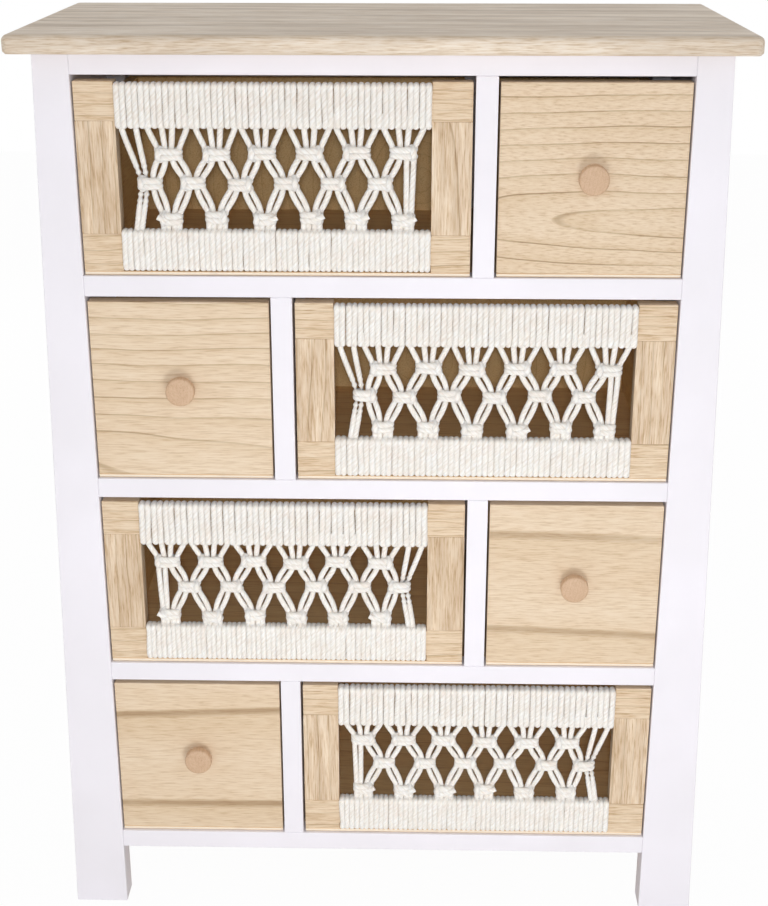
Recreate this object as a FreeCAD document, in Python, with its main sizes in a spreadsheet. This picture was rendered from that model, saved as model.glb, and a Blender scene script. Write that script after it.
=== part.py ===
import FreeCAD, Part
import Sketcher
import os
from FreeCAD import Vector

# Chest of eight drawers: a white frame with posts that widen to the floor, a plain wooden top, four small drawers
# with a turned knob and four wide drawers whose front is a knotted cord panel held between two corded rails.
# Origin: middle of the footprint, on the floor. +Z is up and the front faces -Y. Millimetres.

SIZES = (
    ("inner_width", 503, "between the posts"),
    ("frame_depth", 265, "front of the front posts to the back of the rear posts"),
    ("post_top_width", 29.5, "width of a post under the top board"),
    ("post_foot_width", 49.5, "width of a post at the floor"),
    ("post_depth", 25, "a post from front to back"),
    ("foot_clearance", 64, "floor to the underside of the bottom rails"),
    ("rail_height", 18, "height of every rail of the frame"),
    ("rail_depth", 20, "a frame rail or divider from front to back"),
    ("row_height", 166, "clear height of one row of drawers"),
    ("small_opening", 157.5, "clear width for a small drawer"),
    ("divider_width", 18, "upright between the two drawers of a row"),
    ("top_thickness", 15, "top board"),
    ("top_side_overhang", 19, "top board past the posts' tops"),
    ("top_front_overhang", 20, "top board past the front"),
    ("top_rear_overhang", 5, "top board past the back"),
    ("top_corner_radius", 6, "top board corners seen from above"),
    ("top_upper_radius", 5, "upper edge of the top board"),
    ("top_lower_bevel", 2, "lower edge of the top board"),
    ("side_panel_thickness", 9, "side panel"),
    ("side_panel_inset", 5, "side panel behind the posts' outer edges"),
    ("back_thickness", 4, "back panel"),
    ("runner_width", 12, "width of runner under a drawer side"),
    ("runner_height", 12, "height of a runner"),
    ("guide_height", 8, "centre guide above its runner"),
    ("running_clearance", 0.3, "drawer above its runners"),
    ("post_gap", 1.2, "drawer to the post beside it"),
    ("divider_gap", 2, "drawer to the divider beside it"),
    ("head_gap", 5.2, "drawer to the rail above it"),
    ("drawer_recess", 3, "drawer fronts behind the frame's front"),
    ("rear_gap", 1, "closed drawer to the back panel"),
    ("front_thickness", 15, "drawer fronts"),
    ("drawer_wall", 10, "drawer sides and backs"),
    ("drawer_wall_height", 128, "drawer sides and backs above the bottom"),
    ("bottom_thickness", 3, "plywood drawer bottom"),
    ("panel_rail_height", 32, "rails of a wide drawer's front"),
    ("panel_stile_width", 33, "stiles of a wide drawer's front"),
    ("rail_notch", 6, "notch in a panel rail that takes the winding"),
    ("cord_diameter", 4.8, "cotton cord"),
    ("winding_groove", 1.4, "depth between two ribs of the winding"),
    ("winding_end_gap", 0.5, "winding to the end of its notch"),
    ("knot_pitch", 38.6, "knot to knot along a row"),
    ("knot_drop", 22, "winding to the first row of knots"),
    ("knot_rise", 13.7, "last row of knots above the lower winding"),
    ("knot_width", 21, "a knot of the first row along its row"),
    ("knot_narrowing", 2, "each row of knots narrower than the row above it"),
    ("knot_height", 12.5, "a knot from top to bottom"),
    ("knot_thickness", 10, "a knot from front to back"),
    ("inner_cord_offset", 2.6, "middle of a knot to its inner cords"),
    ("outer_cord_offset", 8.4, "middle of a first-row knot to its outer cords"),
    ("inner_feed_offset", 4.3, "middle of a knot to its inner cords at the upper winding"),
    ("outer_feed_offset", 16.4, "middle of a knot to its outer cords at the upper winding"),
    ("edge_knot_pull", 3, "the second row's end knot drawn towards the middle"),
    ("net_setback", 3, "middle of the net behind the front's face"),
    ("knob_lift", 2, "knob above the middle of its front"),
    ("knob_projection", 14, "knob from the drawer front"),
    ("knob_head_diameter", 25, "head of a knob"),
    ("knob_head_length", 8.5, "head of a knob along its axis"),
    ("knob_neck_diameter", 15, "neck of a knob"),
    ("knob_face_bevel", 1.4, "bevel round a knob's face"),
)

ROWS = 4
KNOT_ROWS = 3
WINDING_RIBS = 24

doc = FreeCAD.newDocument("chest_of_drawers")
sheet = doc.addObject("Spreadsheet::Sheet", "Size")
for line, (alias, number, meaning) in enumerate(SIZES, start=1):
    sheet.set(f"A{line}", alias)
    sheet.set(f"B{line}", str(number))
    sheet.setAlias(f"B{line}", alias)
    sheet.set(f"C{line}", meaning)
doc.recompute()

# Places that several pieces share, as expressions of the sizes
HALF = "Size.inner_width / 2"
TOTAL_DEPTH = "(Size.frame_depth + Size.top_front_overhang + Size.top_rear_overhang)"
FRONT = f"(-{TOTAL_DEPTH} / 2 + Size.top_front_overhang)"
BACK = f"({FRONT} + Size.frame_depth)"
LEVEL = "(Size.row_height + Size.rail_height)"
FRAME_TOP = f"(Size.foot_clearance + {ROWS} * {LEVEL} + Size.rail_height)"
WIDE_OPENING = "(Size.inner_width - Size.small_opening - Size.divider_width)"
BACK_RAIL_FRONT = f"({BACK} - Size.back_thickness - Size.rail_depth)"
RAIL_BACK = f"({FRONT} + Size.rail_depth)"

# Places inside a drawer, from its own left lower front corner
SIDE_GAPS = "(Size.post_gap + Size.divider_gap)"
DRAWER_FACE = f"({FRONT} + Size.drawer_recess)"
DRAWER_DEPTH = f"({BACK} - Size.back_thickness - Size.rear_gap - {DRAWER_FACE})"
FRONT_HEIGHT = "(Size.row_height - Size.head_gap - Size.running_clearance - Size.bottom_thickness)"
PANEL_HEIGHT = f"({FRONT_HEIGHT} - 2 * Size.panel_rail_height)"
FRONT_BACK = f"({DRAWER_FACE} + Size.front_thickness)"

nodes = []


def value(expression):
    """The number that an expression of the sizes comes to."""
    result = sheet.evalExpression(expression)
    return float(getattr(result, "Value", result))


def keep(item, label):
    """Name a finished piece, which is written to its own file."""
    item.Label = label
    nodes.append(item)
    return item


def place(item, x, y, z):
    """Put a piece's own origin at a place given by expressions."""
    item.setExpression("Placement.Base.x", x)
    item.setExpression("Placement.Base.y", y)
    item.setExpression("Placement.Base.z", z)


def board(name, x, y, z, length, depth, height):
    """A plain board with its left lower front corner at a place."""
    item = doc.addObject("Part::Box", name)
    item.setExpression("Length", length)
    item.setExpression("Width", depth)
    item.setExpression("Height", height)
    place(item, x, y, z)
    return item


def group(name, items):
    """Several like solids that are kept in one file."""
    item = doc.addObject("Part::Compound", name)
    item.Links = items
    return item


def outline(body, plane, corners):
    """A closed outline of straight lines in a plane of the body, with every corner tied to expressions."""
    sketch = body.newObject("Sketcher::SketchObject", body.Name + "_outline")
    support = [item for item in body.Origin.OriginFeatures if item.Role == plane]
    sketch.AttachmentSupport = [(support[0], "")]
    sketch.MapMode = "FlatFace"
    points = [Vector(value(across), value(up), 0) for across, up in corners]
    count = len(points)
    for index in range(count):
        sketch.addGeometry(Part.LineSegment(points[index], points[(index + 1) % count]))
    for index in range(count):
        sketch.addConstraint(Sketcher.Constraint("Coincident", index, 2, (index + 1) % count, 1))
    for index, (across, up) in enumerate(corners):
        number = sketch.addConstraint(Sketcher.Constraint("DistanceX", index, 1, points[index].x))
        sketch.setExpression(f"Constraints[{number}]", across)
        number = sketch.addConstraint(Sketcher.Constraint("DistanceY", index, 1, points[index].y))
        sketch.setExpression(f"Constraints[{number}]", up)
    return sketch


def plank(name, corners, depth, rear):
    """A board cut to an outline seen from the front; its rear face lies at a place along Y."""
    body = doc.addObject("PartDesign::Body", name)
    sketch = outline(body, "XZ_Plane", corners)
    pad = body.newObject("PartDesign::Pad", name + "_pad")
    pad.Profile = sketch
    pad.setExpression("Length", depth)
    place(body, "0", rear, "0")
    return body


def turned(name, corners):
    """A piece turned on a lathe about the Y axis, from half its outline."""
    body = doc.addObject("PartDesign::Body", name)
    sketch = outline(body, "XY_Plane", corners)
    revolution = body.newObject("PartDesign::Revolution", name + "_turning")
    revolution.Profile = sketch
    revolution.ReferenceAxis = (sketch, ["V_Axis"])
    revolution.Angle = 360
    return body


def dress_edges(body, kind, name, size, wanted):
    """Fillet or chamfer those edges of the body's last feature that a test picks out."""
    doc.recompute()
    base = body.Tip
    edges = [f"Edge{number}" for number, edge in enumerate(base.Shape.Edges, start=1) if wanted(edge)]
    feature = body.newObject(f"PartDesign::{kind}", name)
    feature.Base = (base, edges)
    feature.setExpression("Radius" if kind == "Fillet" else "Size", size)
    doc.recompute()


def row_floor(row):
    """Height of the runners of a row, counted from the top."""
    return f"(Size.foot_clearance + Size.rail_height + {ROWS - row} * {LEVEL})"


def opening_left(row, kind):
    """Left edge of the wide opening, the divider or the small opening of a row; the sides swap every row."""
    widths = {"wide": WIDE_OPENING, "divider": "Size.divider_width", "small": "Size.small_opening"}
    order = ("wide", "divider", "small") if row % 2 else ("small", "divider", "wide")
    before = [widths[item] for item in order[:order.index(kind)]]
    return "(" + " + ".join([f"-{HALF}"] + before) + ")"


def drawer_left(row, kind):
    """Left edge of a drawer: a post stands left of it, or a divider."""
    beside_post = (kind == "wide") == bool(row % 2)
    gap = "Size.post_gap" if beside_post else "Size.divider_gap"
    return f"({opening_left(row, kind)} + {gap})"


def make_top_board():
    half_width = f"({HALF} + Size.post_top_width + Size.top_side_overhang)"
    body = doc.addObject("PartDesign::Body", "top_board")
    half_depth = f"{TOTAL_DEPTH} / 2"
    corners = [
        (f"-{half_width}", f"-{half_depth}"),
        (half_width, f"-{half_depth}"),
        (half_width, half_depth),
        (f"-{half_width}", half_depth),
    ]
    sketch = outline(body, "XY_Plane", corners)
    pad = body.newObject("PartDesign::Pad", "top_board_pad")
    pad.Profile = sketch
    pad.setExpression("Length", "Size.top_thickness")
    thickness = value("Size.top_thickness")
    place(body, "0", "0", FRAME_TOP)
    dress_edges(body, "Fillet", "top_corners", "Size.top_corner_radius",
                lambda edge: abs(edge.tangentAt(edge.FirstParameter).z) > 0.5)
    dress_edges(body, "Fillet", "top_upper_edge", "min(Size.top_upper_radius; 0.9 * Size.top_corner_radius)",
                lambda edge: edge.BoundBox.ZMin > edge_level(body) + thickness / 2)
    dress_edges(body, "Chamfer", "top_lower_edge", "min(Size.top_lower_bevel; 0.9 * Size.top_corner_radius)",
                lambda edge: edge.BoundBox.ZMax < edge_level(body) + thickness / 4)
    keep(body, "top_board")


def edge_level(body):
    """Lowest level of a body's last feature, in that feature's own frame."""
    return body.Tip.Shape.BoundBox.ZMin


def make_posts():
    """Four posts: the edge beside the drawers is upright, the outer edge spreads to the floor."""
    for side, sign in (("left", "-"), ("right", "")):
        inner = f"{sign}{HALF}"
        upper = f"{sign}({HALF} + Size.post_top_width)"
        lower = f"{sign}({HALF} + Size.post_foot_width)"
        corners = [(inner, "0"), (inner, FRAME_TOP), (upper, FRAME_TOP), (lower, "0")]
        front_rear = f"({FRONT} + Size.post_depth)"
        keep(plank(f"front_{side}_post", corners, "Size.post_depth", front_rear), f"front_{side}_post")
        keep(plank(f"rear_{side}_post", corners, "Size.post_depth", BACK), f"rear_{side}_post")


def make_side_panels():
    """Side panels between the posts, leaning with their outer edges."""
    spread = "(Size.post_foot_width - Size.post_top_width)"
    low_width = f"(Size.post_foot_width - {spread} * Size.foot_clearance / {FRAME_TOP})"
    high_outer = f"({HALF} + Size.post_top_width - Size.side_panel_inset)"
    low_outer = f"({HALF} + {low_width} - Size.side_panel_inset)"
    for side, sign in (("left", "-"), ("right", "")):
        corners = [
            (f"{sign}{low_outer}", "Size.foot_clearance"),
            (f"{sign}{high_outer}", FRAME_TOP),
            (f"{sign}({high_outer} - Size.side_panel_thickness)", FRAME_TOP),
            (f"{sign}({low_outer} - Size.side_panel_thickness)", "Size.foot_clearance"),
        ]
        depth = "(Size.frame_depth - 2 * Size.post_depth)"
        panel = plank(f"{side}_side_panel", corners, depth, f"({BACK} - Size.post_depth)")
        keep(panel, f"{side}_side_panel")


def make_back_panel():
    panel = board("back_panel", f"-{HALF}", f"({BACK} - Size.back_thickness)", "Size.foot_clearance",
                  "Size.inner_width", "Size.back_thickness", f"({FRAME_TOP} - Size.foot_clearance)")
    keep(panel, "back_panel")


def make_frame_rails():
    """A front rail and a back rail over the top row and under each row."""
    names = ("top", "upper", "middle", "lower", "bottom")
    back_rails = []
    for row, name in enumerate(names):
        low = f"({row_floor(row)} - Size.rail_height)"
        front_rail = board(f"{name}_front_rail", f"-{HALF}", FRONT, low,
                           "Size.inner_width", "Size.rail_depth", "Size.rail_height")
        keep(front_rail, f"{name}_front_rail")
        back_rails.append(board(f"{name}_back_rail", f"-{HALF}", BACK_RAIL_FRONT, low,
                                "Size.inner_width", "Size.rail_depth", "Size.rail_height"))
    keep(back_rails[0], "top_back_rail")
    keep(group("row_back_rails", back_rails[1:]), "row_back_rails")


def make_row_dividers():
    """One upright in each row, on the other side of the middle from row to row."""
    for row in range(1, ROWS + 1):
        divider = board(f"row_{row}_divider", opening_left(row, "divider"), FRONT, row_floor(row),
                        "Size.divider_width", "Size.rail_depth", "Size.row_height")
        keep(divider, f"row_{row}_divider")


def make_runners():
    """Runners under the drawer sides, from the front rail to the back rail; the middle one carries a guide."""
    length = f"({BACK_RAIL_FRONT} - {RAIL_BACK})"
    left_runners, centre_runners, right_runners = [], [], []
    for row in range(1, ROWS + 1):
        low = f"({row_floor(row)} - Size.runner_height)"
        left_runners.append(board(f"left_runner_{row}", f"-{HALF}", RAIL_BACK, low,
                                  "Size.runner_width", length, "Size.runner_height"))
        right_runners.append(board(f"right_runner_{row}", f"({HALF} - Size.runner_width)", RAIL_BACK, low,
                                   "Size.runner_width", length, "Size.runner_height"))
        divider_left = opening_left(row, "divider")
        bearer = board(f"bearer_{row}", f"({divider_left} - Size.runner_width)", RAIL_BACK, low,
                       "(Size.divider_width + 2 * Size.runner_width)", length, "Size.runner_height")
        guide = board(f"guide_{row}", divider_left, RAIL_BACK, row_floor(row),
                      "Size.divider_width", length, "Size.guide_height")
        runner = doc.addObject("Part::Fuse", f"centre_runner_{row}")
        runner.Base = bearer
        runner.Tool = guide
        runner.Refine = True
        centre_runners.append(runner)
    keep(group("left_runners", left_runners), "left_runners")
    keep(group("centre_runners", centre_runners), "centre_runners")
    keep(group("right_runners", right_runners), "right_runners")


def make_drawer_box(name, left, floor, width):
    """Plywood bottom, two sides and a back, behind a drawer front that stands on the bottom."""
    bottom = board(f"{name}_bottom", left, DRAWER_FACE, f"({floor} + Size.running_clearance)",
                   width, DRAWER_DEPTH, "Size.bottom_thickness")
    keep(bottom, f"{name}_bottom")
    wall_floor = f"({floor} + Size.running_clearance + Size.bottom_thickness)"
    wall_length = f"({DRAWER_DEPTH} - Size.front_thickness)"
    left_side = board(f"{name}_left_side", left, FRONT_BACK, wall_floor,
                      "Size.drawer_wall", wall_length, "Size.drawer_wall_height")
    right_side = board(f"{name}_right_side", f"({left} + {width} - Size.drawer_wall)", FRONT_BACK, wall_floor,
                       "Size.drawer_wall", wall_length, "Size.drawer_wall_height")
    back = board(f"{name}_back", f"({left} + Size.drawer_wall)",
                 f"({DRAWER_FACE} + {DRAWER_DEPTH} - Size.drawer_wall)", wall_floor,
                 f"({width} - 2 * Size.drawer_wall)", "Size.drawer_wall", "Size.drawer_wall_height")
    keep(group(f"{name}_box", [left_side, right_side, back]), f"{name}_box")
    return wall_floor


def make_knob(name, x, z):
    """Turned knob: a short neck and a flat head with a bevelled face."""
    head = "-(Size.knob_projection - Size.knob_head_length)"
    corners = [
        ("0", "0"),
        ("Size.knob_neck_diameter / 2", "0"),
        ("Size.knob_neck_diameter / 2", head),
        ("Size.knob_head_diameter / 2", head),
        ("Size.knob_head_diameter / 2", "-Size.knob_projection"),
        ("0", "-Size.knob_projection"),
    ]
    body = turned(f"{name}_knob", corners)
    place(body, x, DRAWER_FACE, z)
    widest = value("Size.knob_head_diameter / 2")
    level = value("-Size.knob_projection")
    dress_edges(body, "Chamfer", f"{name}_knob_face", "min(Size.knob_face_bevel; 0.4 * Size.knob_head_length)",
                lambda edge: is_ring(edge, widest, level))
    keep(body, f"{name}_knob")


def is_ring(edge, radius, level):
    """Whether an edge is the circle of a radius at a level along the turning axis."""
    if not isinstance(edge.Curve, Part.Circle):
        return False
    return abs(edge.Curve.Radius - radius) < 0.01 and abs(edge.Curve.Center.y - level) < 0.01


def make_small_drawer(row):
    name = f"small_drawer_{row}"
    left = drawer_left(row, "small")
    width = f"(Size.small_opening - {SIDE_GAPS})"
    wall_floor = make_drawer_box(name, left, row_floor(row), width)
    knob_x = f"({left} + {width} / 2)"
    knob_z = f"({wall_floor} + {FRONT_HEIGHT} / 2 + Size.knob_lift)"
    front = board(f"{name}_front", left, DRAWER_FACE, wall_floor, width, "Size.front_thickness", FRONT_HEIGHT)
    keep(front, f"{name}_front")
    make_knob(name, knob_x, knob_z)


def make_wide_drawer(row, macrame):
    """Wide drawer: its front is a frame of two rails and two stiles round a corded panel."""
    name = f"wide_drawer_{row}"
    left = drawer_left(row, "wide")
    width = f"({WIDE_OPENING} - {SIDE_GAPS})"
    wall_floor = make_drawer_box(name, left, row_floor(row), width)
    panel_floor = f"({wall_floor} + Size.panel_rail_height)"
    panel_width = f"({width} - 2 * Size.panel_stile_width)"
    panel_left = f"({left} + Size.panel_stile_width)"
    rails = []
    for level, rail_floor, notch_floor in (
            ("lower", wall_floor, wall_floor),
            ("upper", f"({panel_floor} + {PANEL_HEIGHT})",
             f"({wall_floor} + {FRONT_HEIGHT} - Size.rail_notch)")):
        blank = board(f"{name}_{level}_blank", left, DRAWER_FACE, rail_floor,
                      width, "Size.front_thickness", "Size.panel_rail_height")
        notch = board(f"{name}_{level}_notch", panel_left, DRAWER_FACE, notch_floor,
                      panel_width, "Size.front_thickness", "Size.rail_notch")
        rail = doc.addObject("Part::Cut", f"{name}_{level}_rail")
        rail.Base = blank
        rail.Tool = notch
        rails.append(rail)
    keep(group(f"{name}_front_rails", rails), f"{name}_front_rails")
    stiles = []
    for side, stile_left in (("left", left), ("right", f"({panel_left} + {panel_width})")):
        stiles.append(board(f"{name}_{side}_stile", stile_left, DRAWER_FACE, panel_floor,
                            "Size.panel_stile_width", "Size.front_thickness", PANEL_HEIGHT))
    keep(group(f"{name}_front_stiles", stiles), f"{name}_front_stiles")
    panel = doc.addObject("Part::Feature", f"{name}_macrame")
    panel.Shape = macrame
    place(panel, f"({panel_left} + {panel_width} / 2)", DRAWER_FACE, panel_floor)
    keep(panel, f"{name}_macrame")


def make_winding(core_low, core_high, flat_low, width):
    """Cord wound closely round a rail; the side that the net hangs on is level, the others are ribbed."""
    cord = value("Size.cord_diameter")
    groove = value("Size.winding_groove")
    thickness = value("Size.front_thickness")
    low, high = core_low - cord, core_high + cord
    step = width / WINDING_RIBS / 2
    ribs = [(-width / 2 + index * step, 0 if index % 2 else groove) for index in range(2 * WINDING_RIBS + 1)]
    level = [(-width / 2, 0), (width / 2, 0)]
    under, over = (level, ribs) if flat_low else (ribs, level)
    from_above = [Vector(x, dip - cord, low) for x, dip in ribs]
    from_above += [Vector(x, thickness + cord - dip, low) for x, dip in reversed(ribs)]
    from_ahead = [Vector(x, -cord, low + dip) for x, dip in under]
    from_ahead += [Vector(x, -cord, high - dip) for x, dip in reversed(over)]
    upright = Part.Face(Part.makePolygon(from_above + from_above[:1])).extrude(Vector(0, 0, high - low))
    across = Part.Face(Part.makePolygon(from_ahead + from_ahead[:1])).extrude(Vector(0, thickness + 2 * cord, 0))
    core = Part.makeBox(width, thickness, core_high - core_low, Vector(-width / 2, 0, core_low))
    return upright.common(across).cut(core)


def cord_strip(start, end, width):
    """Flat strip of a cord's width between two points of the net's plane."""
    along = (end - start).normalize()
    across = Vector(-along.z, 0, along.x) * (width / 2)
    corners = [start - across, end - across, end + across, start + across]
    return Part.Face(Part.makePolygon(corners + corners[:1]))


def knot_centres(height, width):
    """Middle of every knot, row by row from the top; the rows are staggered by half a pitch."""
    pitch = value("Size.knot_pitch")
    drop = value("Size.knot_drop")
    fall = (height - drop - value("Size.knot_rise")) / (KNOT_ROWS - 1)
    count = int((width - value("Size.knot_width") - pitch / 2) / pitch) + 1
    rows = []
    for row in range(KNOT_ROWS):
        shift = -pitch / 4 if row % 2 else pitch / 4
        middle = (count - 1) / 2
        z = height - drop - row * fall
        rows.append([Vector(shift + (index - middle) * pitch, 0, z) for index in range(count)])
    rows[1][0].x += value("Size.edge_knot_pull")
    return rows


def net_cords(rows, height, width):
    """Start, end and width of every straight run of cord: bands to knots, and knots to knots in pairs."""
    pitch = value("Size.knot_pitch")
    cord = value("Size.cord_diameter")
    inner = value("Size.inner_cord_offset")
    outers = [value(f"Size.outer_cord_offset - Size.knot_narrowing * {row} / 2") for row in range(KNOT_ROWS)]
    inner_feed = value("Size.inner_feed_offset")
    outer_feed = value("Size.outer_feed_offset")
    first, second, third = rows
    runs = []
    for knot in first:
        for side in (-1, 1):
            for feed, offset in ((inner_feed, inner), (outer_feed, outers[0])):
                start = Vector(knot.x + side * feed, 0, height)
                runs.append((start, Vector(knot.x + side * offset, 0, knot.z), cord))
    # Below the third row a knot's four cords lie side by side, as one wide strip.
    for knot in third:
        runs.append((knot, Vector(knot.x, 0, 0), 2 * outers[2] + cord))
    for level in range(KNOT_ROWS - 1):
        for upper in rows[level]:
            for lower in rows[level + 1]:
                if abs(upper.x - lower.x) > 0.7 * pitch:
                    continue
                way = 1 if lower.x > upper.x else -1
                for leave, arrive in ((inner, outers[level + 1]), (outers[level], inner)):
                    start = Vector(upper.x + way * leave, 0, upper.z)
                    runs.append((start, Vector(lower.x - way * arrive, 0, lower.z), cord))
    # The edges: two long cords feed the second row's end knot and leave it downwards,
    # and at the other edge a pair runs straight from the first row to the third.
    edge_knot = second[0]
    edge = -width / 2 + cord / 2
    for index, offset in enumerate((-outers[1], -inner)):
        knot_point = Vector(edge_knot.x + offset, 0, edge_knot.z)
        runs.append((Vector(edge + 3 * index * cord, 0, height), knot_point, cord))
        runs.append((knot_point, Vector(edge_knot.x + offset - cord, 0, 0), cord))
    for leave, arrive in ((inner, inner), (outers[0], outers[2])):
        start = Vector(first[-1].x + leave, 0, first[-1].z)
        runs.append((start, Vector(third[-1].x + arrive, 0, third[-1].z), cord))
    return runs


def knot_half_width(row):
    """Half of a knot's width in a row counted from the top."""
    return value(f"Size.knot_width - Size.knot_narrowing * {row}") / 2


def make_knot(centre, half_width):
    """A square knot as a six-sided barrel that lies along its row."""
    half_height = value("Size.knot_height") / 2
    half_thickness = value("Size.knot_thickness") / 2
    section = [(0, half_height), (half_thickness, half_height / 2), (half_thickness, -half_height / 2),
               (0, -half_height), (-half_thickness, -half_height / 2), (-half_thickness, half_height / 2)]
    corners = [centre + Vector(-half_width, y, z) for y, z in section]
    face = Part.Face(Part.makePolygon(corners + corners[:1]))
    return face.extrude(Vector(2 * half_width, 0, 0))


def make_net(height, width):
    """The knotted net: one holed face of all the cords, drawn out to a cord's thickness, with its knots."""
    cord = value("Size.cord_diameter")
    rows = knot_centres(height, width)
    strips = [cord_strip(*run) for run in net_cords(rows, height, width)]
    for level in (cord / 2, height - cord / 2):
        strips.append(cord_strip(Vector(-width / 2, 0, level), Vector(width / 2, 0, level), cord))
    knots = []
    for row, centres in enumerate(rows):
        reach = Vector(knot_half_width(row), 0, 0)
        for centre in centres:
            strips.append(cord_strip(centre - reach, centre + reach, value("Size.knot_height") / 2))
            knots.append(make_knot(centre, reach.x))
    frame_strip = cord_strip(Vector(-width / 2, 0, height / 2), Vector(width / 2, 0, height / 2), height)
    flat = strips[0].multiFuse(strips[1:]).common(frame_strip).removeSplitter()
    net = flat.Faces[0].extrude(Vector(0, cord, 0))
    net.translate(Vector(0, -cord / 2, 0))
    net = net.multiFuse(knots).removeSplitter()
    net.translate(Vector(0, value("Size.net_setback"), 0))
    return net.Solids[0]


def make_macrame():
    """Upper winding, net and lower winding of one panel, from the lower middle of the panel's opening."""
    cord = value("Size.cord_diameter")
    panel_height = value(PANEL_HEIGHT)
    panel_width = value(f"{WIDE_OPENING} - {SIDE_GAPS} - 2 * Size.panel_stile_width")
    width = panel_width - 2 * value("Size.winding_end_gap")
    core_height = value("Size.panel_rail_height - Size.rail_notch")
    upper = make_winding(panel_height, panel_height + core_height, True, width)
    lower = make_winding(-core_height, 0, False, width)
    net = make_net(panel_height - 2 * cord, width)
    net.translate(Vector(0, 0, cord))
    return Part.makeCompound([upper, net, lower])


def check_document():
    """Stop if a feature failed or a piece is empty or not valid."""
    for item in doc.Objects:
        failed = {"Invalid", "Error"} & set(item.State)
        if failed:
            raise RuntimeError(f"{item.Label} is {failed}")
    for item in nodes:
        if item.Shape.isNull() or not item.Shape.isValid() or not item.Shape.Solids:
            raise RuntimeError(f"{item.Label} has no valid solid")


make_top_board()
make_posts()
make_side_panels()
make_back_panel()
make_frame_rails()
make_row_dividers()
make_runners()
panel_cords = make_macrame()
mirrored_cords = panel_cords.mirror(Vector(), Vector(1, 0, 0))
for row_number in range(1, ROWS + 1):
    make_wide_drawer(row_number, panel_cords if row_number <= ROWS / 2 else mirrored_cords)
    make_small_drawer(row_number)
doc.recompute()
check_document()

os.makedirs("parts", exist_ok=True)
for node in nodes:
    node.Shape.exportStep(f"parts/{node.Label}.step")
    print(node.Label, len(node.Shape.Solids), round(node.Shape.Volume))
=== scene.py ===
import math
import random

import bpy
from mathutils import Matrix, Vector


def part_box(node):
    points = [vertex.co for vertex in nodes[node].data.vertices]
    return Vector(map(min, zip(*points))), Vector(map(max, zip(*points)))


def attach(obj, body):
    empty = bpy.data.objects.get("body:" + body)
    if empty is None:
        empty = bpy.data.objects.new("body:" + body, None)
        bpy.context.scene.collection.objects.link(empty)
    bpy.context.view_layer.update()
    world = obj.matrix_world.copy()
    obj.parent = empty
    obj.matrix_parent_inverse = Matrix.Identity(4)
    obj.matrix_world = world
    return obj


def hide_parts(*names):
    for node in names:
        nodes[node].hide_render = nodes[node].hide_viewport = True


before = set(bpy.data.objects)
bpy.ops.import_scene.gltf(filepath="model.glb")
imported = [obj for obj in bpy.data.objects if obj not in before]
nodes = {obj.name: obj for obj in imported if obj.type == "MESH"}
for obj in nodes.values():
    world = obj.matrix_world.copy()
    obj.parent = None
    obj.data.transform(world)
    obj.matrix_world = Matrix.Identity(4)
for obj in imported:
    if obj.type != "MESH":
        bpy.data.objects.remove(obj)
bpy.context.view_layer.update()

# Sizes, in metres

MM = 0.001
ROWS = 4
MIRRORED_ROWS = (3, 4)

# cord: thickness, length of one twist, and the turns of the upper and lower windings row by row
CORD = 4.8 * MM
CORD_LAY = 15 * MM
UPPER_TURNS = (52, 51, 48, 49)
LOWER_TURNS = (56, 52, 56, 55)

# knots: distance along a row, heights of the three rows above the lower rail, and their shift to the side
KNOT_PITCH = 38.6 * MM
KNOT_ROW_HEIGHTS = (67 * MM, 42.4 * MM, 13.4 * MM)
KNOTS_PER_ROW = 6
ROW_SHIFT = 9.65 * MM
NEIGHBOUR_REACH = 0.7 * KNOT_PITCH
LOOSE_END_SHARE = 0.4

# from a knot's middle to its inner cords, to its outer ones row by row, to its edge, and at the winding
INNER_CORD = 2.5 * MM
OUTER_CORDS = (8.4 * MM, 7.3 * MM, 6.6 * MM)
KNOT_EDGE = 3 * MM
INNER_FEED = 4.3 * MM
OUTER_FEED = 16.4 * MM
# how far the two cords of a pair bow apart on their way to the next knot
PAIR_BOW = 1.2 * MM

# the two cords at one edge of a net: where they start, the pull on their knot, and their slant below it
EDGE_STARTS = (-124.5 * MM, -112.5 * MM)
EDGE_PULL = 3 * MM
EDGE_SLANT = 6.5 * MM

# front of a wide drawer
NET_SETBACK = 3 * MM
CORD_PROUD = 1.4 * MM
STILE_WIDTH = 33 * MM
RAIL_NOTCH = 6 * MM
SLAT = 4 * MM
SLAT_LAP = 1 * MM
# how far a slat's inner edge lies below the end of the stiles: upper slats row by row, and lower slats
UPPER_DROPS = (1 * MM, 1 * MM, 4 * MM, 4.5 * MM)
LOWER_DROP = 1 * MM

# sanded edges: their widths, and the angle above which an edge is sharp
FRAME_EDGE = 0.8 * MM
DRAWER_EDGE = 0.7 * MM
SHARP = math.radians(40)

chance = random.Random(12)


# Small helpers


def colour(code):
    """An sRGB hex value as linear red, green, blue and alpha."""
    parts = [int(code[start:start + 2], 16) / 255 for start in (1, 3, 5)]
    linear = [part / 12.92 if part <= 0.04045 else ((part + 0.055) / 1.055) ** 2.4 for part in parts]
    return (*linear, 1)


def add(material, kind, inputs=None, stops=None, **settings):
    """Adds a node: inputs are values or other nodes' outputs, stops are a ramp's places and colours."""
    node = material.node_tree.nodes.new("ShaderNode" + kind)
    for name, setting in settings.items():
        setattr(node, name, setting)
    for name, source in (inputs or {}).items():
        if isinstance(source, bpy.types.NodeSocket):
            material.node_tree.links.new(source, node.inputs[name])
        else:
            node.inputs[name].default_value = source
    for index, (place, code) in enumerate(stops or []):
        ramp = node.color_ramp.elements
        stop = ramp[index] if index in (0, len(stops) - 1) else ramp.new(place)
        stop.position = place
        stop.color = colour(code)
    return node


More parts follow.
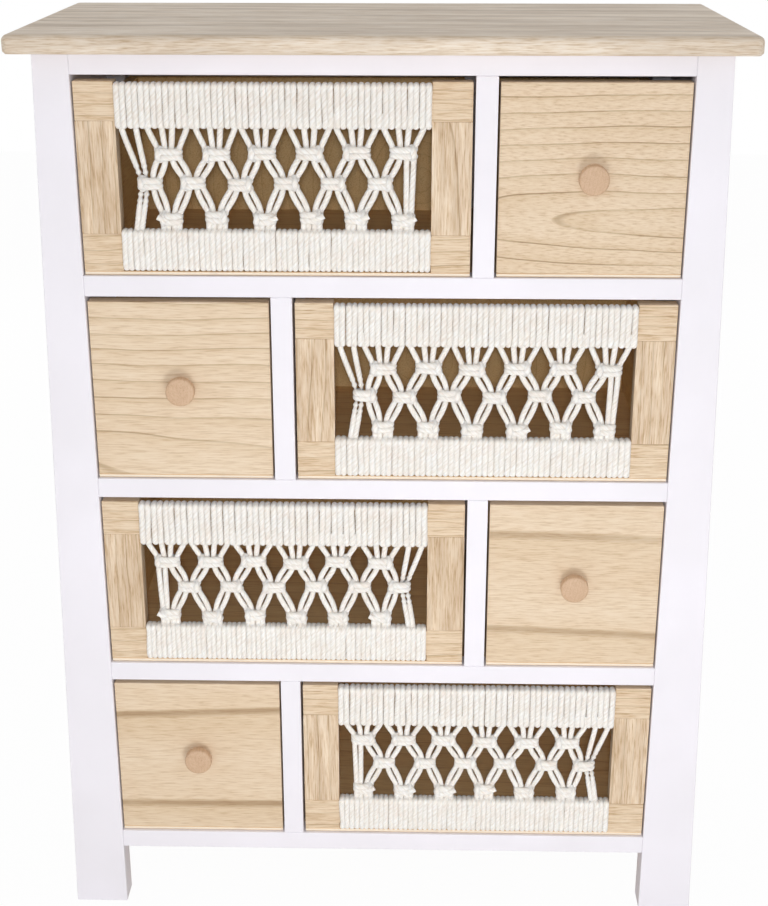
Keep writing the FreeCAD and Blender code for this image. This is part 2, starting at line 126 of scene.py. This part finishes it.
def finish_with(material, **inputs):
    """Links or sets the inputs of a material's shader; names use underscores for spaces."""
    shader = material.node_tree.nodes["Principled BSDF"]
    for name, source in inputs.items():
        socket = shader.inputs[name.replace("_", " ")]
        if isinstance(source, bpy.types.NodeSocket):
            material.node_tree.links.new(source, socket)
        else:
            socket.default_value = source
    return material


def new_material(name):
    """A material with a node tree and its shader."""
    material = bpy.data.materials.new(name)
    material.use_nodes = True
    return material


def give(piece, material):
    """The piece shows only this material."""
    piece.data.materials.clear()
    piece.data.materials.append(material)


def place_piece(piece, body, material):
    """A finished piece gets its material and moves with its body."""
    give(piece, material)
    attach(piece, body)


# Camera at the photograph's place, its angles in degrees

LOOK_DOWN = 21.07
LOOK_LEFT = 1.31

lens_box = bpy.data.cameras.new("camera")
lens_box.lens = 61.75
lens_box.sensor_width = 36
camera = bpy.data.objects.new("camera", lens_box)
camera.location = (0.031, -1.3937, 0.9653)
camera.rotation_euler = (math.radians(90 - LOOK_DOWN), 0, math.radians(LOOK_LEFT))
bpy.context.scene.collection.objects.link(camera)
bpy.context.scene.camera = camera


# Materials

# each wood's colours: pale and warm ground, late wood, line
FRONT_WOOD = ("#E8D5BC", "#E2CCB0", "#D0B690", "#9E7F5B")
TOP_WOOD = ("#F2E6D7", "#C9B8A4", "#B5A592", "#94856F")
KNOB_WOOD = ("#D3B496", "#CDAC8E", "#C09D7D", "#AA8766")
BOX_WOOD = ("#FBDDA6", "#F5D298", "#E2BC80", "#B8905A")
PLY_WOOD = ("#FBDCAC", "#F5D19E", "#E4BB86", "#C59A68")
STILE_WOOD = ("#F0DEC7", "#D3BCA1", "#C6AE8E", "#A38460")
RUNNER_WOOD = ("#E2CAA5", "#D8BC95", "#C3A47A", "#A0825A")
PLY_EDGE = "#F3EADC"
GRAIN_TURN = {"x": (0, 0, 0), "y": (0, 0, -math.pi / 2), "z": (0, math.pi / 2, 0)}
# pores, drawn wider than real so that they show
PORE_WIDTH = 1.1 * MM
PORE_LENGTH = 22 * MM


def facing_up(material):
    """How far a surface faces up: 1 on top, 0 at a side, -1 below."""
    normal = add(material, "TexCoord").outputs["Normal"]
    return add(material, "SeparateXYZ", {"Vector": normal}).outputs["Z"]


def sawn_wood(name, grain, pale, warm, late, line, ring, heart, lean, roughness,
              lines=0.8, open_pores=0.6, dusk=0.5, patch_width=30 * MM, lined_edges=True):
    """Sawn soft wood: growth rings cut at a slant give thin dark lines and arches, with short pores."""
    material = new_material(name)
    place = add(material, "TexCoord").outputs["Object"]
    turned = add(material, "Mapping", {"Vector": place, "Rotation": GRAIN_TURN[grain]}).outputs[0]
    leaned = add(material, "Mapping", {
        "Vector": turned, "Rotation": (0, 0.1 * lean, lean), "Location": heart}).outputs[0]
    drawn_out = add(material, "Mapping", {"Vector": leaned, "Scale": (0.45, 1, 1)}).outputs[0]
    # the texture draws 20 rings to a length of tau at scale 1
    rings = add(material, "TexWave", {
        "Vector": drawn_out, "Scale": math.tau / 20 / ring, "Distortion": 5, "Detail": 2.5,
        "Detail Scale": 0.4, "Detail Roughness": 0.45},
        wave_type="RINGS", rings_direction="X", wave_profile="SAW").outputs["Fac"]
    # the wood between two lines: long patches, paler and warmer
    across = 1 / patch_width
    patch_at = add(material, "Mapping", {
        "Vector": leaned, "Scale": (0.12 * across, across, across)}).outputs[0]
    patch = add(material, "TexNoise", {"Vector": patch_at, "Scale": 1, "Detail": 2}).outputs["Fac"]
    ground = add(material, "ValToRGB", {"Fac": patch}, stops=[(0.3, pale), (0.7, warm)]).outputs["Color"]
    # late wood darkens slowly towards each line, and the line comes and goes along the grain
    shown = lines
    if not lined_edges:
        shown = add(material, "MapRange", {
            "Value": facing_up(material), "From Min": 0.6, "From Max": 0.95, "To Max": lines}).outputs[0]
    late_wood = add(material, "MapRange", {
        "Value": rings, "From Min": 0.55, "From Max": 0.95, "To Max": dusk}).outputs[0]
    darkened = add(material, "Math", {0: late_wood, 1: shown}, operation="MULTIPLY").outputs[0]
    edge = add(material, "ValToRGB", {"Fac": rings}, stops=[
        (0.9, "#000000"), (0.95, "#FFFFFF"), (0.975, "#FFFFFF"), (1, "#000000")]).outputs["Color"]
    comes = add(material, "MapRange", {
        "Value": patch, "From Min": 0.35, "From Max": 0.6, "To Min": 0.25}).outputs[0]
    fade = add(material, "Math", {0: comes, 1: shown}, operation="MULTIPLY").outputs[0]
    drawn = add(material, "Math", {0: edge, 1: fade}, operation="MULTIPLY").outputs[0]
    dusky = add(material, "Mix", {0: darkened, 6: ground, 7: colour(late)}, data_type="RGBA").outputs[2]
    lined = add(material, "Mix", {0: drawn, 6: dusky, 7: colour(line)}, data_type="RGBA").outputs[2]
    pores_at = add(material, "Mapping", {
        "Vector": leaned, "Scale": (1 / PORE_LENGTH, 1 / PORE_WIDTH, 1 / PORE_WIDTH)}).outputs[0]
    pores = add(material, "TexNoise", {
        "Vector": pores_at, "Scale": 1, "Detail": 3, "Roughness": 0.6}).outputs["Fac"]
    pore_colour = add(material, "ValToRGB", {"Fac": pores}, stops=[
        (0.3, "#D2BFA6"), (0.45, "#F3EBE0"), (0.6, "#FFFFFF")]).outputs["Color"]
    pored = add(material, "Mix", {0: open_pores, 6: lined, 7: pore_colour},
                data_type="RGBA", blend_type="MULTIPLY").outputs[2]
    rough = add(material, "MapRange", {
        "Value": pores, "To Min": roughness + 0.12, "To Max": roughness - 0.08}).outputs[0]
    relief = add(material, "Bump", {"Height": pores, "Strength": 0.2, "Distance": 0.3 * MM}).outputs[0]
    return finish_with(material, Base_Color=pored, Roughness=rough, Normal=relief, IOR=1.5)


def plywood(name, heart):
    """Thin plywood: a warm smooth veneer above and below, and a paler cut edge."""
    material = sawn_wood(name, "x", *PLY_WOOD, ring=16 * MM, heart=heart, lean=0.03,
                         roughness=0.66, lines=0.4)
    veneer = material.node_tree.nodes["Principled BSDF"].inputs["Base Color"].links[0].from_socket
    level = add(material, "Math", {0: facing_up(material)}, operation="ABSOLUTE").outputs[0]
    cut = add(material, "MapRange", {"Value": level, "To Min": 0.8, "To Max": 0}).outputs[0]
    tone = add(material, "Mix", {0: cut, 6: veneer, 7: colour(PLY_EDGE)}, data_type="RGBA").outputs[2]
    return finish_with(material, Base_Color=tone)


def white_paint():
    """Sprayed satin paint over wood: almost even, with faint grain and a slight orange peel under it."""
    material = new_material("white_satin_paint")
    cloud_size = 90 * MM
    grain_width = 1.6 * MM
    grain_length = 50 * MM
    peel_size = 1.8 * MM
    place = add(material, "TexCoord").outputs["Object"]
    cloud = add(material, "TexNoise", {
        "Vector": place, "Scale": 1 / cloud_size, "Detail": 2}).outputs["Fac"]
    tint = add(material, "ValToRGB", {"Fac": cloud}, stops=[
        (0.3, "#EDEAF0"), (0.7, "#F2EFF6")]).outputs["Color"]
    grain_at = add(material, "Mapping", {
        "Vector": place, "Scale": (1 / grain_width, 1 / grain_width, 1 / grain_length)})
    grain = add(material, "TexNoise", {
        "Vector": grain_at.outputs[0], "Scale": 1, "Detail": 2}).outputs["Fac"]
    peel = add(material, "TexNoise", {"Vector": place, "Scale": 1 / peel_size, "Detail": 1}).outputs["Fac"]
    surface = add(material, "Math", {0: grain, 1: peel}, operation="ADD").outputs[0]
    relief = add(material, "Bump", {"Height": surface, "Strength": 0.12, "Distance": 0.2 * MM}).outputs[0]
    rough = add(material, "MapRange", {"Value": cloud, "To Min": 0.42, "To Max": 0.52}).outputs[0]
    return finish_with(material, Base_Color=tint, Roughness=rough, Normal=relief, IOR=1.5)


def cotton_cord():
    """Natural cotton cord: matt, creamy white, soft and fuzzy, with painted shade a little darker down
    between its strands.
    """
    material = new_material("natural_cotton_cord")
    tone_size = 12 * MM
    place = add(material, "TexCoord").outputs["Object"]
    tone = add(material, "TexNoise", {"Vector": place, "Scale": 1 / tone_size, "Detail": 3}).outputs["Fac"]
    # fibres along the cord, drawn coarser than real so that they show
    along = add(material, "Attribute", attribute_name="fibre").outputs["Vector"]
    fluff = add(material, "TexNoise", {"Vector": along, "Scale": 1.6, "Detail": 2}).outputs["Fac"]
    cream = add(material, "ValToRGB", {"Fac": tone}, stops=[
        (0.3, "#FAF4EE"), (0.5, "#FDF9F4"), (0.7, "#FFFCF8")]).outputs["Color"]
    # painted shade: the colour darkens towards the valleys between the strands, where shade falls
    strand = add(material, "Attribute", attribute_name="strand").outputs["Fac"]
    painted_valley_shade = add(material, "ValToRGB", {"Fac": strand}, stops=[
        (0, "#F8F7F5"), (0.4, "#FDFCFB"), (0.8, "#FFFFFF")]).outputs["Color"]
    laid = add(material, "Mix", {0: 1.0, 6: cream, 7: painted_valley_shade},
               data_type="RGBA", blend_type="MULTIPLY").outputs[2]
    shade = add(material, "ValToRGB", {"Fac": fluff}, stops=[
        (0.35, "#E6DED4"), (0.6, "#FFFFFF")]).outputs["Color"]
    fibres = add(material, "Mix", {0: 0.4, 6: laid, 7: shade},
                 data_type="RGBA", blend_type="MULTIPLY").outputs[2]
    relief = add(material, "Bump", {"Height": fluff, "Strength": 0.4, "Distance": 0.4 * MM}).outputs[0]
    finish_with(material, Base_Color=fibres, Roughness=0.95, Normal=relief, IOR=1.45)
    finish_with(material, Subsurface_Weight=0.5, Subsurface_Radius=(1.3, 1.2, 1.1), Subsurface_Scale=MM)
    return finish_with(material, Sheen_Weight=0.25, Sheen_Roughness=0.5)


paint = white_paint()
cotton = cotton_cord()


def heart_at(board, depth, down):
    """Moves the tree's heart to a depth behind a board's face, and down by a share of its height."""
    low, high = board
    return (0, -(low.y + depth), -(high.z - down * (high.z - low.z)))


# Boards of the carcass


def soften(node, width):
    """A board's edges are sanded round by a small width."""
    weld = node.modifiers.new("weld", "WELD")
    weld.merge_threshold = 0.01 * MM
    rounding = node.modifiers.new("sanded_edges", "BEVEL")
    rounding.width = width
    rounding.segments = 2
    rounding.limit_method = "ANGLE"
    rounding.angle_limit = SHARP


runners = sawn_wood("bare_pine_runner", "y", *RUNNER_WOOD, ring=7 * MM,
                    heart=(0, 0.05, -0.03), lean=0.02, roughness=0.7)
top_wood = sawn_wood("oiled_paulownia_top", "x", *TOP_WOOD, ring=27 * MM,
                     heart=(0.1, -0.5, -0.6), lean=0.04, roughness=0.5,
                     lines=0.4, open_pores=0.9, dusk=0.25, patch_width=19 * MM, lined_edges=False)

for name, node in nodes.items():
    if "drawer" in name or name == "top_board":
        continue
    if name.endswith("runners"):
        give(node, runners)
        continue
    give(node, paint)
    soften(node, FRAME_EDGE)
give(nodes["top_board"], top_wood)


# Drawers

# rings of the small fronts: width and heart's depth in mm, its share of the height down, slant, strength
FRONT_RINGS = ((13, -32, 0.7, -0.13, 0.8), (13, 60, 1.02, -0.03, 0.7),
               (99.5, 30, 2.67, -0.05, 0.6), (101, 30, 2.1, 0.04, 0.7))

# radius of a knob and distance from the drawer's front, in mm
KNOB_PROFILE = ((7.6, 0), (7.6, 0.6), (7.0, 1.6), (6.9, 3), (7.6, 4.2), (9.6, 5.2), (11.8, 5.8),
                (12.5, 6.8), (12.5, 12.4), (12.2, 13.3), (11.6, 13.8), (10.8, 14))


def turned_knob(drawer, material):
    """A knob turned from one blank: a waist, a round shoulder and a flat face with a soft rim."""
    low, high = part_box(drawer + "_knob")
    x, z = (low.x + high.x) / 2, (low.z + high.z) / 2
    (radius, forward), *outline = KNOB_PROFILE
    bpy.ops.object.select_all(action="DESELECT")
    bpy.ops.mesh.primitive_circle_add(vertices=48, radius=radius * MM, fill_type="NGON",
                                      location=(x, high.y, z), rotation=(math.pi / 2, 0, 0))
    knob = bpy.context.object
    knob.name = drawer + "_turned_knob"
    bpy.ops.object.transform_apply(location=True, rotation=True, scale=True)
    bpy.ops.object.mode_set(mode="EDIT")
    bpy.ops.mesh.select_all(action="SELECT")
    for next_radius, next_forward in outline:
        step = (next_forward - forward) * MM
        bpy.ops.mesh.extrude_region_move(TRANSFORM_OT_translate={"value": (0, -step, 0)})
        ratio = next_radius / radius
        bpy.ops.transform.resize(value=(ratio, 1, ratio),
                                 center_override=(x, high.y - next_forward * MM, z))
        radius, forward = next_radius, next_forward
    bpy.ops.mesh.select_all(action="SELECT")
    bpy.ops.mesh.normals_make_consistent(inside=False)
    bpy.ops.object.mode_set(mode="OBJECT")
    bpy.ops.object.shade_smooth_by_angle(angle=SHARP)
    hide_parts(drawer + "_knob")
    place_piece(knob, drawer, material)


def add_block(low, high):
    """A plain block between two corners."""
    size = high - low
    bpy.ops.mesh.primitive_cube_add(size=1, location=(low + high) / 2, scale=size)
    bpy.ops.object.transform_apply(location=True, rotation=True, scale=True)
    return bpy.context.object


def slatted_rails(drawer, drop, material):
    """Both rails of a corded front: whole at the ends, and between them a thin slat for the winding."""
    low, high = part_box(drawer + "_front_rails")
    sill, lintel = [corner.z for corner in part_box(drawer + "_front_stiles")]
    inner_left, inner_right = low.x + STILE_WIDTH, high.x - STILE_WIDTH
    bpy.ops.object.select_all(action="DESELECT")
    blocks = []
    for bottom, top in ((low.z, sill), (lintel, high.z)):
        for left, right in ((low.x, inner_left), (inner_right, high.x)):
            blocks.append(add_block(Vector((left, low.y, bottom)), Vector((right, high.y, top))))
    for bottom, top in ((low.z + RAIL_NOTCH, sill - LOWER_DROP), (lintel - drop, high.z - RAIL_NOTCH)):
        blocks.append(add_block(Vector((inner_left - SLAT_LAP, low.y, bottom)),
                                Vector((inner_right + SLAT_LAP, low.y + SLAT, top))))
    for block in blocks:
        block.select_set(True)
    bpy.ops.object.join()
    rails = bpy.context.object
    rails.name = drawer + "_slatted_rails"
    bpy.ops.object.mode_set(mode="EDIT")
    bpy.ops.mesh.select_all(action="SELECT")
    bpy.ops.mesh.bevel(offset=DRAWER_EDGE, segments=2)
    bpy.ops.mesh.normals_make_consistent(inside=False)
    bpy.ops.object.mode_set(mode="OBJECT")
    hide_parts(drawer + "_front_rails")
    place_piece(rails, drawer, material)


for row in range(1, ROWS + 1):
    wide = "wide_drawer_%d" % row
    small = "small_drawer_%d" % row
    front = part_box(small + "_front")
    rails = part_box(wide + "_front_rails")
    ring, depth, down, lean, lines = FRONT_RINGS[row - 1]
    front_wood = sawn_wood("bare_paulownia_front_%d" % row, "x", *FRONT_WOOD, ring=ring * MM,
                           heart=heart_at(front, depth * MM, down), lean=lean, roughness=0.62, lines=lines)
    rail_wood = sawn_wood("bare_paulownia_rail_%d" % row, "x", *FRONT_WOOD, ring=8 * MM,
                          heart=heart_at(rails, 60 * MM, 1.3), lean=0.03, roughness=0.62,
                          lines=0.55, open_pores=0.9)
    stile_wood = sawn_wood("bare_paulownia_stile_%d" % row, "z", *STILE_WOOD, ring=9 * MM,
                           heart=(0, 0.18, 0.02 * row), lean=0.03, roughness=0.62,
                           lines=0.6, open_pores=1, patch_width=9 * MM)
    box_wood = sawn_wood("bare_paulownia_box_%d" % row, "y", *BOX_WOOD, ring=12 * MM,
                         heart=(0, 0.03, -front[0].z - 0.03), lean=0.02, roughness=0.66, lines=0.3)
    ply = plywood("thin_plywood_%d" % row, (0, 0, 0.03 - front[0].z))
    knob_wood = sawn_wood("turned_beech_knob_%d" % row, "y", *KNOB_WOOD, ring=3 * MM,
                          heart=(0, 0.3, -front[0].z - 0.05), lean=0.02, roughness=0.5,
                          lines=0.25, open_pores=0.4, patch_width=5 * MM)
    turned_knob(small, knob_wood)
    slatted_rails(wide, UPPER_DROPS[row - 1], rail_wood)
    for name, material in (
            (small + "_front", front_wood), (small + "_box", box_wood), (small + "_bottom", ply),
            (wide + "_front_stiles", stile_wood), (wide + "_box", box_wood), (wide + "_bottom", ply)):
        give(nodes[name], material)
        soften(nodes[name], DRAWER_EDGE)


# Macrame of the wide drawers

# section of the cord: points round it, reach between its strands and their rise, as shares of its radius
SECTION = 12
VALLEY_REACH = 0.97
STRAND_RISE = 0.045
STRAND_CROWN = [abs(math.cos(1.5 * math.tau * step / SECTION)) for step in range(SECTION)]
# how fast the fibres' pattern moves on from one ring of points to the next
FIBRE_STEP = 0.12

# how much thicker than the cord's share of the width, or than the cord, each kind of piece is drawn
UPPER_SWELL = 1.11
LOWER_SWELL = 1.21
NET_SWELL = 1.06
KNOT_SWELL = 1.25

# one turn in six leans more
TURN_LEANS = (0.5, 0.5, 0.5, 0.5, 0.5, 2)


def cord_outline():
    """Section of a cord laid from three strands: a closed outline with three lobes."""
    curve = bpy.data.curves.new("cord_outline", "CURVE")
    spline = curve.splines.new("POLY")
    spline.points.add(SECTION - 1)
    for step, point in enumerate(spline.points):
        angle = math.tau * step / SECTION
        reach = CORD / 2 * (VALLEY_REACH + STRAND_RISE * STRAND_CROWN[step])
        point.co = (reach * math.cos(angle), reach * math.sin(angle), 0, 1)
    spline.use_cyclic_u = True
    outline = bpy.data.objects.new("cord_outline", curve)
    bpy.context.scene.collection.objects.link(outline)
    return outline


def lay_cords(name, routes, outline, swell):
    """One mesh of cords, each a smooth line through its route with the strands twisted round it."""
    curve = bpy.data.curves.new(name, "CURVE")
    curve.dimensions = "3D"
    curve.bevel_mode = "OBJECT"
    curve.bevel_object = outline
    curve.use_fill_caps = True
    run = 0
    for route in routes:
        spline = curve.splines.new("NURBS")
        spline.points.add(len(route) - 1)
        run %= CORD_LAY
        for index, point in enumerate(spline.points):
            run += (route[index] - route[max(index - 1, 0)]).length
            point.co = (*route[index], 1)
            point.tilt = math.tau * run / CORD_LAY
            point.radius = swell
        spline.order_u = 3
        spline.use_endpoint_u = True
        spline.resolution_u = 3
    piece = bpy.data.objects.new(name, curve)
    bpy.context.scene.collection.objects.link(piece)
    bpy.ops.object.select_all(action="DESELECT")
    bpy.context.view_layer.objects.active = piece
    piece.select_set(True)
    bpy.ops.object.convert(target="MESH")
    bpy.ops.object.mode_set(mode="EDIT")
    bpy.ops.mesh.select_all(action="SELECT")
    bpy.ops.mesh.normals_make_consistent(inside=False)
    bpy.ops.object.mode_set(mode="OBJECT")
    bpy.ops.object.shade_smooth()
    # how far each point is out on its strand, which also sets the painted shade in the valleys, and its
    # place round and along the cord
    crowns = []
    places = []
    for index in range(len(piece.data.vertices)):
        ring, step = divmod(index, SECTION)
        crowns.append(STRAND_CROWN[step])
        angle = math.tau * step / SECTION
        places += [math.cos(angle), math.sin(angle), FIBRE_STEP * ring]
    piece.data.attributes.new("strand", "FLOAT", "POINT").data.foreach_set("value", crowns)
    piece.data.attributes.new("fibre", "FLOAT_VECTOR", "POINT").data.foreach_set("vector", places)
    return piece


def winding_routes(turns, left, right, front, back, low, high):
    """Turns side by side round a rail: upright in front, moving on to the next turn behind."""
    step = (right - left - CORD) / (turns - 1)
    middle = (front + back) / 2
    height = high - low
    rim = front + 0.2 * MM
    routes = []
    for turn in range(turns):
        pair = -1 if turn % 2 else 1
        x = left + CORD / 2 + turn * step + (0.15 * pair + chance.uniform(-0.25, 0.25)) * MM
        x = min(max(x, left + CORD / 2), right - CORD / 2)
        lean = chance.choice(TURN_LEANS) * chance.uniform(-1, 1) * MM
        bulge = chance.uniform(0, 0.35) * MM
        begin = left + CORD / 2 + (turn - 0.5) * step
        # x, depth and share of the height of each point
        over = [(begin, back, 0.5), (x, back, 0.78), (x, back, 1), (x, middle, 1.01), (x, rim, 1)]
        down = [(x + lean * (share - 0.5), front + bulge, share)
                for share in (0.94, 0.78, 0.62, 0.46, 0.3, 0.14)]
        under = [(x, rim, 0), (x, middle, -0.01), (x, back, 0), (x, back, 0.22), (begin + step, back, 0.5)]
        routes.append([Vector((across, deep, low + share * height))
                       for across, deep, share in over + down + under])
    return routes


def run_between(start, end, steps, bow, sway=0):
    """A cord between two places, a little upright at both ends; it bows in depth and sways sideways."""
    route = []
    for step in range(steps + 1):
        share = step / steps
        eased = share * share * (3 - 2 * share)
        place = start.lerp(end, share)
        place.x = start.x + (end.x - start.x) * (0.8 * share + 0.2 * eased)
        place.x += sway * math.sin(math.pi * share)
        place.y += bow * math.sin(math.pi * share)
        route.append(place)
    return route


def knot_routes(place, outer, side):
    """A square knot: two bars round the middle cords, and a loop over their ends on one side."""
    x, y, z = place
    routes = []
    for bar in (1, -1):
        tilt = bar * side * 0.5 * MM
        half = outer + 0.6 * MM
        # shares of the half width, then depth and rise in mm
        points = [(0.4, 3.3, 2.2), (0.85, 2.9, 2.3), (1.03, 0, 2.6), (0.85, -2.7, 2.5), (0.4, -3.9, 2.3),
                  (0, -4.2, 2.2), (-0.4, -3.9, 2.3), (-0.85, -2.7, 2.5), (-1.03, 0, 2.6),
                  (-0.85, 2.9, 2.3), (-0.4, 3.3, 2.2)]
        routes.append([Vector((x + half * across, y + deep * MM, z + bar * rise * MM + across * tilt))
                       for across, deep, rise in points])
    loop = [(0.81, -0.5, 4.6), (0.86, -3.2, 3.2), (0.94, -4.2, 1.2), (0.94, -4.2, -1.2), (0.86, -3.2, -3.2),
            (0.81, -0.5, -4.6)]
    routes.append([Vector((x + side * across * outer, y + deep * MM, z + rise * MM))
                   for across, deep, rise in loop])
    return routes


def cord_end(place, side):
    """A short end of cord that stands out in front of a knot, to one side."""
    points = ((2, -4, -0.5), (5, -5.4, -0.2), (8, -6, 0.8), (10.5, -5.6, 2.2))
    return [place + Vector((side * across, deep, rise)) * MM for across, deep, rise in points]


def knot_places(row, centre, low, hand):
    """Centres of one row of knots from left to right; hand is 1, or -1 for a mirror image."""
    shift = ROW_SHIFT if row != 1 else -ROW_SHIFT
    middle = (KNOTS_PER_ROW - 1) / 2
    places = [Vector((shift + (index - middle) * KNOT_PITCH, 0, KNOT_ROW_HEIGHTS[row]))
              for index in range(KNOTS_PER_ROW)]
    return [Vector((centre.x + hand * place.x, centre.y, low + place.z)) for place in places]


def wobble(place):
    """A knot tied by hand is a little off its place."""
    return place + Vector((chance.uniform(-0.9, 0.9), 0, chance.uniform(-1.4, 1.4))) * MM


def net_routes(centre, low, high, hand):
    """Cords of one net, hung from the upper winding and fastened to the lower one, and its knots."""
    rows = [[wobble(place) for place in knot_places(row, centre, low, hand)]
            for row in range(len(KNOT_ROW_HEIGHTS))]
    rows[1][0].x += hand * EDGE_PULL
    face = centre.y - (NET_SETBACK + CORD_PROUD)
    routes = []

    def tie(start, end, steps=5, sway=0):
        routes.append(run_between(start, end, steps, chance.uniform(-0.8, 0.2) * MM, sway))

    def hang(x, end):
        out_of_winding = [Vector((x, face + deep * MM, high + rise * MM))
                          for deep, rise in ((0, 8), (0, 3), (0.6, -1))]
        free = Vector((x, face + 2.4 * MM, high - 4 * MM))
        routes.append(out_of_winding + run_between(free, end, 4, 0))

    def fasten(start, x):
        tie(start, Vector((x, centre.y - 1 * MM, low + 4 * MM)), 3)
        routes[-1] += [Vector((x, face, low + rise * MM)) for rise in (1, -6)]

    def above(knot, offset):
        return knot + Vector((offset, 0, KNOT_EDGE))

    def below(knot, offset):
        return knot + Vector((offset, 0, -KNOT_EDGE))

    for knot in rows[0]:
        for side in (-1, 1):
            hang(knot.x + side * OUTER_FEED, above(knot, side * OUTER_CORDS[0]))
            hang(knot.x + side * INNER_FEED, above(knot, side * INNER_CORD))
    for level in (0, 1):
        leave, arrive = OUTER_CORDS[level:level + 2]
        for start in rows[level]:
            for end in rows[level + 1]:
                if abs(end.x - start.x) > NEIGHBOUR_REACH:
                    continue
                side = 1 if end.x > start.x else -1
                tie(below(start, side * INNER_CORD), above(end, -side * arrive), sway=-side * PAIR_BOW)
                tie(below(start, side * leave), above(end, -side * INNER_CORD), sway=side * PAIR_BOW)
    for knot in rows[2]:
        for offset in (-OUTER_CORDS[2], -INNER_CORD, INNER_CORD, OUTER_CORDS[2]):
            fasten(below(knot, offset), knot.x + offset)
    edge_knot = rows[1][0]
    for start, offset in zip(EDGE_STARTS, (OUTER_CORDS[1], INNER_CORD)):
        hang(centre.x + hand * start, above(edge_knot, -hand * offset))
        fasten(below(edge_knot, -hand * offset), edge_knot.x - hand * (0.85 * offset + EDGE_SLANT))
    for leave, arrive in ((INNER_CORD, INNER_CORD), (OUTER_CORDS[0], OUTER_CORDS[2])):
        tie(below(rows[0][-1], hand * leave), above(rows[2][-1], hand * arrive), steps=9)
    knots = []
    for row, outer in zip(rows, OUTER_CORDS):
        for place in row:
            knots += knot_routes(place, outer, chance.choice((-1, 1)))
    for place in rows[2]:
        if chance.random() < LOOSE_END_SHARE:
            routes.append(cord_end(place, chance.choice((-1, 1))))
    return routes, knots


outline = cord_outline()
for row in range(1, ROWS + 1):
    drawer = "wide_drawer_%d" % row
    held = drawer + "_macrame"
    low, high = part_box(held)
    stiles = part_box(drawer + "_front_stiles")
    sill, lintel = stiles[0].z, stiles[1].z
    middle = Vector(((low.x + high.x) / 2, stiles[0].y + NET_SETBACK, 0))
    front = low.y + CORD / 2
    back = front + SLAT + CORD
    hem = lintel - UPPER_DROPS[row - 1]
    upper = winding_routes(UPPER_TURNS[row - 1], low.x, high.x, front, back,
                           hem - CORD / 2, high.z - CORD / 2)
    lower = winding_routes(LOWER_TURNS[row - 1], low.x, high.x, front, back,
                           low.z + CORD / 2, sill - LOWER_DROP + CORD / 2)
    net, knots = net_routes(middle, sill, hem, -1 if row in MIRRORED_ROWS else 1)
    # the turns press together, so a cord fills a little more than its share of the width
    share = (high.x - low.x) / CORD
    for name, routes, swell in (
            ("upper_winding", upper, UPPER_SWELL * share / len(upper)), ("net", net, NET_SWELL),
            ("knots", knots, KNOT_SWELL), ("lower_winding", lower, LOWER_SWELL * share / len(lower))):
        piece = lay_cords(drawer + "_" + name, routes, outline, swell)
        place_piece(piece, drawer, cotton)
        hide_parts(held)
bpy.data.objects.remove(outline)


# Floor, light and background

FLOOR_WHITE = 0.97
WALL_LIGHT = 0.8
UPPER_LIGHT = 0.43


def pale_floor():
    """Seamless white paper, pale and even: to the camera it is almost pure white, with a faint shadow."""
    bpy.ops.object.select_all(action="DESELECT")
    bpy.ops.mesh.primitive_plane_add(size=8, location=(0, 0, 0))
    floor = bpy.context.object
    floor.name = "floor"
    material = new_material("white_paper_floor")
    finish_with(material, Base_Color=colour("#F2F1F0"), Roughness=0.9)
    ray = add(material, "LightPath").outputs
    seen = add(material, "Math", {0: ray["Is Camera Ray"], 1: FLOOR_WHITE}, operation="MULTIPLY").outputs[0]
    glow = add(material, "Emission", {"Color": (1, 1, 1, 1), "Strength": 1.0}).outputs[0]
    shader = material.node_tree.nodes["Principled BSDF"].outputs[0]
    both = add(material, "MixShader", {0: seen, 1: shader, 2: glow}).outputs[0]
    material.node_tree.links.new(both, material.node_tree.nodes["Material Output"].inputs["Surface"])
    give(floor, material)


def add_lamp(name, place, aim, size, power):
    """A square lamp that points at a place; the larger it is, the softer its light."""
    lamp = bpy.data.lights.new(name, "AREA")
    lamp.size = size
    lamp.energy = power
    stand = bpy.data.objects.new(name, lamp)
    stand.location = place
    stand.rotation_euler = (Vector(aim) - Vector(place)).to_track_quat("-Z", "Y").to_euler()
    bpy.context.scene.collection.objects.link(stand)


def white_room():
    """Soft light from all round, stronger from the walls than from above; the camera sees plain white."""
    world = bpy.data.worlds.new("white_room")
    world.use_nodes = True
    bpy.context.scene.world = world
    background = world.node_tree.nodes["Background"]
    ray = add(world, "LightPath").outputs
    seen = add(world, "Math", {0: ray["Is Camera Ray"], 1: ray["Is Glossy Ray"]}, operation="MAXIMUM")
    clear = add(world, "Math", {0: seen.outputs[0], 1: ray["Is Transmission Ray"]}, operation="MAXIMUM")
    towards = add(world, "TexCoord").outputs["Generated"]
    up = add(world, "SeparateXYZ", {"Vector": towards}).outputs["Z"]
    wall = add(world, "MapRange", {"Value": up, "To Min": WALL_LIGHT, "To Max": UPPER_LIGHT}).outputs[0]
    strength = add(world, "Mix", {0: clear.outputs[0], 2: wall, 3: 1.0})
    background.inputs["Color"].default_value = (1, 1, 1, 1)
    world.node_tree.links.new(strength.outputs[0], background.inputs["Strength"])


pale_floor()
add_lamp("low_lamp", place=(0.15, -1.25, 0.06), aim=(0, -0.1, 0.12), size=0.3, power=4.3)
# just behind the camera, so that the drawers are lit through the holes of the nets
add_lamp("front_lamp", place=(0.033, -1.47, 0.995), aim=(0, -0.1, -0.3), size=0.05, power=4.6)
for side in (-1, 1):
    add_lamp("rear_lamp", place=(side * 1.5, 1.9, 0.8), aim=(0, 0.1, 0.4), size=1, power=7)
white_room()
bpy.context.scene.view_settings.view_transform = "Standard"
